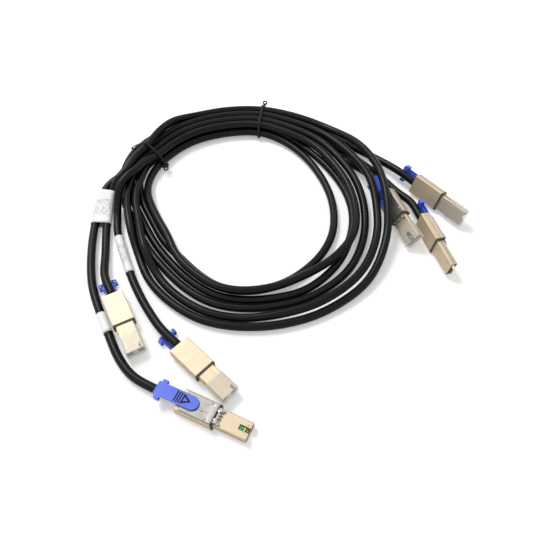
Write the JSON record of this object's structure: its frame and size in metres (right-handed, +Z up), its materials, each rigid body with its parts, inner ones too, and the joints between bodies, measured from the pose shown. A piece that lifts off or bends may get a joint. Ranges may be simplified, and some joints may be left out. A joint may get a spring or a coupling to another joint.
{
  "type": "sas cable set",
  "caption": "Coiled set of black external storage cables with flat metal plugs, blue pull tabs, clear dust caps and black twist ties",
  "frame": {"origin": "on the floor under the middle of the object's bounding box", "axes": "+Z is up, the floor is z = 0; +Y is away from the viewer, from the left plugs towards the tied side of the coil; +X is to the viewer's right"},
  "size_m": [0.4279, 0.4518, 0.0346],
  "materials": {
    "jacket_black": "smooth satin black cable jacket",
    "shell_metal": "cast metal, satin champagne plating with a fine grain",
    "latch_steel": "stamped spring steel, brushed",
    "tab_blue": "flexible satin plastic strap",
    "cap_clear": "clear moulded plastic, slightly milky",
    "card_green": "circuit card lacquer with gold contact pads",
    "collar_rubber": "dark conductive gasket",
    "tie_black": "plastic-coated wire",
    "label_paper": "matt white label film with plain grey bars"
  },
  "bodies": {
    "root": {"left_front_shell_lower": "shell_metal", "left_front_shell_upper": "shell_metal", "left_front_collar": "collar_rubber", "left_front_contact_card": "card_green", "left_outer_shell_lower": "shell_metal", "left_outer_shell_upper": "shell_metal", "left_outer_collar": "collar_rubber", "left_outer_contact_card": "card_green", "left_outer_dust_cap": "cap_clear", "left_middle_shell_lower": "shell_metal", "left_middle_shell_upper": "shell_metal", "left_middle_collar": "collar_rubber", "left_middle_contact_card": "card_green", "left_middle_dust_cap": "cap_clear", "right_inner_shell_lower": "shell_metal", "right_inner_shell_upper": "shell_metal", "right_inner_collar": "collar_rubber", "right_inner_contact_card": "card_green", "right_inner_dust_cap": "cap_clear", "right_middle_shell_lower": "shell_metal", "right_middle_shell_upper": "shell_metal", "right_middle_collar": "collar_rubber", "right_middle_contact_card": "card_green", "right_outer_shell_lower": "shell_metal", "right_outer_shell_upper": "shell_metal", "right_outer_collar": "collar_rubber", "right_outer_contact_card": "card_green", "right_outer_dust_cap": "cap_clear", "cable_front": "jacket_black", "cable_outer": "jacket_black", "cable_middle": "jacket_black", "tie_left": "tie_black", "tie_right": "tie_black", "label_front": "label_paper", "label_middle": "label_paper", "label_pair": "label_paper"},
    "left_front_latch": {"left_front_latch": "latch_steel"},
    "left_front_pull_tab": {"left_front_pull_tab": "tab_blue"},
    "left_outer_latch": {"left_outer_latch": "latch_steel"},
    "left_outer_pull_tab": {"left_outer_pull_tab": "tab_blue"},
    "left_middle_latch": {"left_middle_latch": "latch_steel"},
    "left_middle_pull_tab": {"left_middle_pull_tab": "tab_blue"},
    "right_inner_latch": {"right_inner_latch": "latch_steel"},
    "right_inner_pull_tab": {"right_inner_pull_tab": "tab_blue"},
    "right_middle_latch": {"right_middle_latch": "latch_steel"},
    "right_middle_pull_tab": {"right_middle_pull_tab": "tab_blue"},
    "right_outer_latch": {"right_outer_latch": "latch_steel"},
    "right_outer_pull_tab": {"right_outer_pull_tab": "tab_blue"}
  },
  "joints": [
    {"name": "left_front_tab_pull", "type": "slide", "parent": "root", "child": "left_front_pull_tab", "axis": [-0.9063, 0.4226, 0], "range_m": [0, 0.0025]},
    {"name": "left_front_latch_lift", "type": "hinge", "parent": "root", "child": "left_front_latch", "pos_m": [-0.06683, -0.19896, 0.01085], "axis": [-0.4226, -0.9063, 0], "range_deg": [0, 4.4]},
    {"name": "left_outer_tab_pull", "type": "slide", "parent": "root", "child": "left_outer_pull_tab", "axis": [-0.4617, 0.887, 0], "range_m": [0, 0.0025]},
    {"name": "left_outer_latch_lift", "type": "hinge", "parent": "root", "child": "left_outer_latch", "pos_m": [-0.15856, -0.09993, 0.00295], "axis": [0.887, 0.4617, 0], "range_deg": [0, 4.4]},
    {"name": "left_middle_tab_pull", "type": "slide", "parent": "root", "child": "left_middle_pull_tab", "axis": [-0.7193, 0.6947, 0], "range_m": [0, 0.0025]},
    {"name": "left_middle_latch_lift", "type": "hinge", "parent": "root", "child": "left_middle_latch", "pos_m": [-0.07763, -0.15238, 0.00295], "axis": [0.6947, 0.7193, 0], "range_deg": [0, 4.4]},
    {"name": "right_inner_tab_pull", "type": "slide", "parent": "root", "child": "right_inner_pull_tab", "axis": [-0.342, 0.9397, 0], "range_m": [0, 0.0025]},
    {"name": "right_inner_latch_lift", "type": "hinge", "parent": "root", "child": "right_inner_latch", "pos_m": [0.1286, 0.03465, 0.01513], "axis": [-0.604, -0.2198, -0.766], "range_deg": [0, 4.4]},
    {"name": "right_middle_tab_pull", "type": "slide", "parent": "root", "child": "right_middle_pull_tab", "axis": [-0.2924, 0.9563, 0], "range_m": [0, 0.0025]},
    {"name": "right_middle_latch_lift", "type": "hinge", "parent": "root", "child": "right_middle_latch", "pos_m": [0.17366, -0.00019, 0.01111], "axis": [0.1331, 0.0407, 0.9903], "range_deg": [0, 4.4]},
    {"name": "right_outer_tab_pull", "type": "slide", "parent": "root", "child": "right_outer_pull_tab", "axis": [-0.6494, 0.7604, 0], "range_m": [0, 0.0025]},
    {"name": "right_outer_latch_lift", "type": "hinge", "parent": "root", "child": "right_outer_latch", "pos_m": [0.18204, 0.06342, 0.01028], "axis": [0.2849, 0.2433, 0.9272], "range_deg": [0, 4.4]}
  ],
  "couplings": [
    {"joint": "left_front_latch_lift", "follows": "left_front_tab_pull", "rad_per_m": 27.9},
    {"joint": "left_outer_latch_lift", "follows": "left_outer_tab_pull", "rad_per_m": 27.9},
    {"joint": "left_middle_latch_lift", "follows": "left_middle_tab_pull", "rad_per_m": 27.9},
    {"joint": "right_inner_latch_lift", "follows": "right_inner_tab_pull", "rad_per_m": 27.9},
    {"joint": "right_middle_latch_lift", "follows": "right_middle_tab_pull", "rad_per_m": 27.9},
    {"joint": "right_outer_latch_lift", "follows": "right_outer_tab_pull", "rad_per_m": 27.9}
  ]
}
